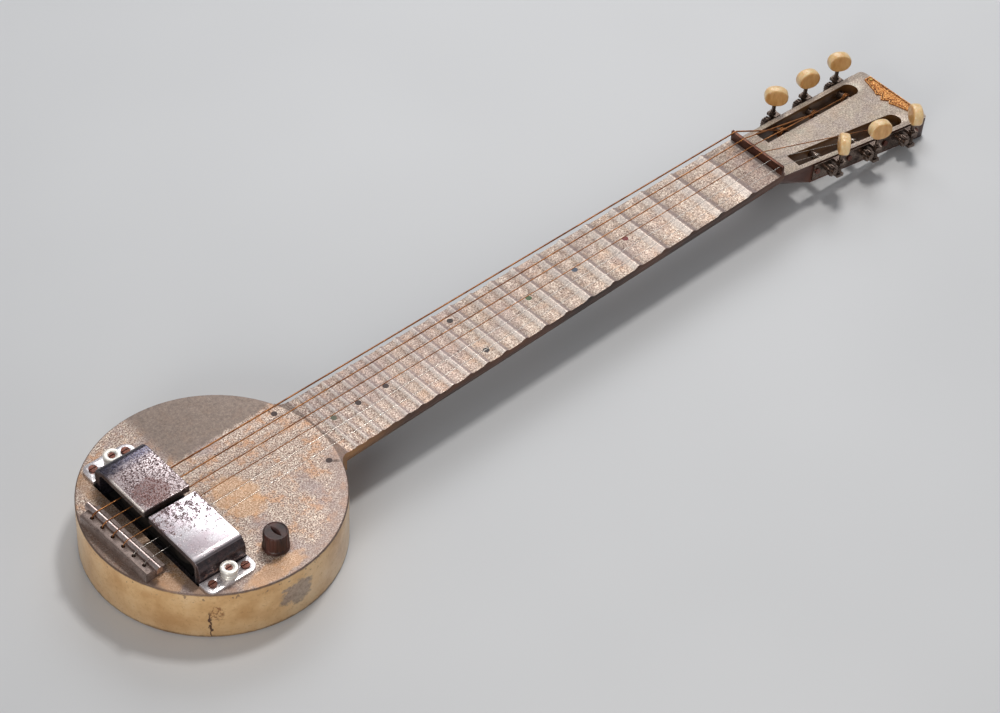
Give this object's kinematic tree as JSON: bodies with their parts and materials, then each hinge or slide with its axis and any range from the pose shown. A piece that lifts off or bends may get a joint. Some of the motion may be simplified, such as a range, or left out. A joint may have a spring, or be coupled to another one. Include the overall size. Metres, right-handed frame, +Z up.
{
  "type": "lap steel guitar",
  "caption": "Electric lap steel guitar with a small round metal pan body, cast neck and frets, horseshoe-magnet pickup over the strings, one knob and a slotted head with upright tuner buttons.",
  "frame": {"origin": "centre of the pan's flat back, on the surface that the instrument lies on", "axes": "+X along the neck towards the head, +Y towards the bass strings, +Z up out of the playing surface"},
  "size_m": [0.7328, 0.1796, 0.0593],
  "materials": {
    "cast_aluminium": "worn bare casting on top, gold-tan lacquer on the sides",
    "cover_aluminium": "satin sheet",
    "bridge_aluminium": "worn satin",
    "saddle_metal": "polished, worn",
    "nut_metal": "dark patina",
    "plain_steel_string": "polished wire",
    "wound_string": "bronze-wound wire",
    "brass_fittings": "satin",
    "bright_magnet": "bright plating with rust pits",
    "worn_magnet": "plating thick with rust speckle",
    "bracket_chrome": "bright plating",
    "thumb_nut_nickel": "bright nickel",
    "steel_screws": "rusted screw steel",
    "hidden_steel": "plain",
    "black_fibre": "matt vulcanised fibre",
    "coil_tape": "cloth tape over enamelled wire",
    "knob_bakelite": "brown moulded bakelite",
    "capacitor_wax": "waxed paper",
    "wire_cloth": "cloth-covered wire",
    "dot_paint": "coloured inlays",
    "badge_brass": "pebbled, gilt",
    "tuner_steel": "tarnished nickel",
    "button_ivoroid": "aged ivory-coloured celluloid"
  },
  "bodies": {
    "instrument": {"body_casting": "cast_aluminium", "back_cover": "cover_aluminium", "back_cover_screws": "hidden_steel", "bridge_block": "bridge_aluminium", "bridge_screws": "hidden_steel", "saddle_bar": "saddle_metal", "nut": "nut_metal", "string_1": "plain_steel_string", "string_2": "plain_steel_string", "string_3": "wound_string", "string_4": "wound_string", "string_5": "wound_string", "string_6": "wound_string", "string_ball_ends": "brass_fittings", "pickup_brackets": "bracket_chrome", "bracket_screws": "steel_screws", "pot_body": "hidden_steel", "pot_nut": "brass_fittings", "capacitor": "capacitor_wax", "output_jack": "hidden_steel", "jack_nut": "brass_fittings", "lead_wires": "wire_cloth", "position_dots": "dot_paint", "head_badge": "badge_brass", "badge_pins": "brass_fittings", "tuner_plate_bass": "tuner_steel", "tuner_plate_treble": "tuner_steel", "tuner_plate_screws": "steel_screws"},
    "pickup": {"magnet_treble": "bright_magnet", "magnet_bass": "worn_magnet", "pickup_carrier": "hidden_steel", "pickup_studs": "steel_screws", "coil_bobbin": "black_fibre", "coil_winding": "coil_tape", "pole_pieces": "hidden_steel", "coil_lead": "wire_cloth"},
    "thumb_nut_treble": {"thumb_nut_treble": "thumb_nut_nickel"},
    "thumb_nut_bass": {"thumb_nut_bass": "thumb_nut_nickel"},
    "volume_knob": {"knob": "knob_bakelite", "knob_set_screw": "brass_fittings", "pot_shaft": "brass_fittings"},
    "tuner_button_1": {"worm_shaft_1": "tuner_steel", "button_1": "button_ivoroid"},
    "tuner_button_2": {"worm_shaft_2": "tuner_steel", "button_2": "button_ivoroid"},
    "tuner_button_3": {"worm_shaft_3": "tuner_steel", "button_3": "button_ivoroid"},
    "tuner_button_4": {"worm_shaft_4": "tuner_steel", "button_4": "button_ivoroid"},
    "tuner_button_5": {"worm_shaft_5": "tuner_steel", "button_5": "button_ivoroid"},
    "tuner_button_6": {"worm_shaft_6": "tuner_steel", "button_6": "button_ivoroid"},
    "tuner_post_1": {"string_post_1": "tuner_steel"},
    "tuner_post_2": {"string_post_2": "tuner_steel"},
    "tuner_post_3": {"string_post_3": "tuner_steel"},
    "tuner_post_4": {"string_post_4": "tuner_steel"},
    "tuner_post_5": {"string_post_5": "tuner_steel"},
    "tuner_post_6": {"string_post_6": "tuner_steel"}
  },
  "joints": [
    {"name": "pickup_height", "type": "slide", "parent": "instrument", "child": "pickup", "axis": [0, 0, 1], "range_m": [-0.0008, 0.0008]},
    {"name": "thumb_nut_treble_turn", "type": "hinge", "parent": "instrument", "child": "thumb_nut_treble", "pos_m": [-0.03825, -0.06436, 0.048], "axis": [0, 0, 1], "range_deg": [-361, 361]},
    {"name": "thumb_nut_bass_turn", "type": "hinge", "parent": "instrument", "child": "thumb_nut_bass", "pos_m": [-0.03387, 0.06096, 0.048], "axis": [0, 0, 1], "range_deg": [-361, 361]},
    {"name": "volume_turn", "type": "hinge", "parent": "instrument", "child": "volume_knob", "pos_m": [0.001, -0.0635, 0.05], "axis": [0, 0, -1], "range_deg": [0, 300]},
    {"name": "button_1_turn", "type": "hinge", "parent": "instrument", "child": "tuner_button_1", "pos_m": [0.54927, -0.03417, 0.02285], "axis": [0.1392, 0, 0.9903], "continuous": true},
    {"name": "post_1_turn", "type": "hinge", "parent": "instrument", "child": "tuner_post_1", "pos_m": [0.54405, -0.01736, 0.02358], "axis": [0.061, 0.9981, -0.0086], "continuous": true},
    {"name": "button_2_turn", "type": "hinge", "parent": "instrument", "child": "tuner_button_2", "pos_m": [0.58476, -0.03638, 0.01786], "axis": [0.1392, 0, 0.9903], "continuous": true},
    {"name": "post_2_turn", "type": "hinge", "parent": "instrument", "child": "tuner_post_2", "pos_m": [0.57953, -0.01957, 0.0186], "axis": [0.061, 0.9981, -0.0086], "continuous": true},
    {"name": "button_3_turn", "type": "hinge", "parent": "instrument", "child": "tuner_button_3", "pos_m": [0.62024, -0.03859, 0.01288], "axis": [0.1392, 0, 0.9903], "continuous": true},
    {"name": "post_3_turn", "type": "hinge", "parent": "instrument", "child": "tuner_post_3", "pos_m": [0.61501, -0.02178, 0.01361], "axis": [0.061, 0.9981, -0.0086], "continuous": true},
    {"name": "button_4_turn", "type": "hinge", "parent": "instrument", "child": "tuner_button_4", "pos_m": [0.62024, 0.03859, 0.01288], "axis": [0.1392, 0, 0.9903], "continuous": true},
    {"name": "post_4_turn", "type": "hinge", "parent": "instrument", "child": "tuner_post_4", "pos_m": [0.61501, 0.02178, 0.01361], "axis": [-0.061, 0.9981, 0.0086], "continuous": true},
    {"name": "button_5_turn", "type": "hinge", "parent": "instrument", "child": "tuner_button_5", "pos_m": [0.58476, 0.03638, 0.01786], "axis": [0.1392, 0, 0.9903], "continuous": true},
    {"name": "post_5_turn", "type": "hinge", "parent": "instrument", "child": "tuner_post_5", "pos_m": [0.57953, 0.01957, 0.0186], "axis": [-0.061, 0.9981, 0.0086], "continuous": true},
    {"name": "button_6_turn", "type": "hinge", "parent": "instrument", "child": "tuner_button_6", "pos_m": [0.54927, 0.03417, 0.02285], "axis": [0.1392, 0, 0.9903], "continuous": true},
    {"name": "post_6_turn", "type": "hinge", "parent": "instrument", "child": "tuner_post_6", "pos_m": [0.54405, 0.01736, 0.02358], "axis": [-0.061, 0.9981, 0.0086], "continuous": true}
  ],
  "couplings": [
    {"joint": "thumb_nut_treble_turn", "follows": "pickup_height", "rad_per_m": -7854},
    {"joint": "thumb_nut_bass_turn", "follows": "pickup_height", "rad_per_m": -7854},
    {"joint": "post_1_turn", "follows": "button_1_turn", "ratio": 0.071429},
    {"joint": "post_2_turn", "follows": "button_2_turn", "ratio": 0.071429},
    {"joint": "post_3_turn", "follows": "button_3_turn", "ratio": 0.071429},
    {"joint": "post_4_turn", "follows": "button_4_turn", "ratio": 0.071429},
    {"joint": "post_5_turn", "follows": "button_5_turn", "ratio": 0.071429},
    {"joint": "post_6_turn", "follows": "button_6_turn", "ratio": 0.071429}
  ]
}
